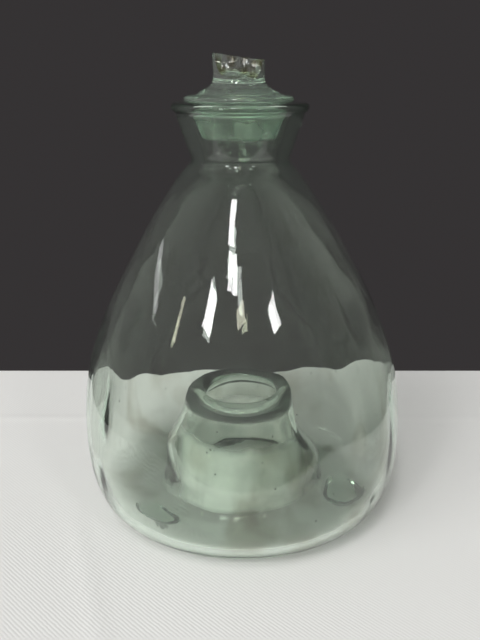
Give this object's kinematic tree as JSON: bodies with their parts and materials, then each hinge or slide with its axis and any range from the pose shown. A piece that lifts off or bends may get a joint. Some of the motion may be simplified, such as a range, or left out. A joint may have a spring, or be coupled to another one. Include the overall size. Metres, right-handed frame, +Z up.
{
  "type": "wasp trap",
  "caption": "Clear green glass bell jar wasp trap with a pushed-up entrance funnel, a bait trough, applied feet and a lift-off glass stopper with a broken knob.",
  "frame": {"origin": "middle of the bottom of the bounding box: on the jar's axis, in the plane the feet stand on", "axes": "+Z up along the jar's axis, +X to the right and -Y towards a person facing the trap's front"},
  "size_m": [0.1798, 0.1798, 0.25],
  "materials": {
    "blown_glass": "clear pale sea-green blown glass, fire-polished, slightly wavy with seeds and faint dust",
    "thick_glass": "the same glass where it is thick, so deeper green, fire-polished",
    "applied_glass": "applied gathers, rounded, fire-polished",
    "stopper_glass": "solid moulded glass, slightly dull",
    "broken_glass": "shell-shaped fracture, rough and stained brown along its ridges"
  },
  "bodies": {
    "jar": {"heel_wall": "blown_glass", "belly_wall": "blown_glass", "shoulder_wall": "blown_glass", "neck_slope": "blown_glass", "neck_collar": "thick_glass", "lip_ring": "thick_glass", "trough_floor": "blown_glass", "entrance_funnel": "blown_glass", "funnel_rim": "thick_glass", "foot_front_left": "applied_glass", "foot_right": "applied_glass", "foot_back": "applied_glass"},
    "stopper": {"stopper_plug": "stopper_glass", "stopper_cap": "stopper_glass", "stopper_knob": "broken_glass"}
  },
  "joints": [
    {"name": "stopper_lift", "type": "slide", "parent": "jar", "child": "stopper", "axis": [0, 0, 1], "range_m": [0, 0.06]}
  ]
}
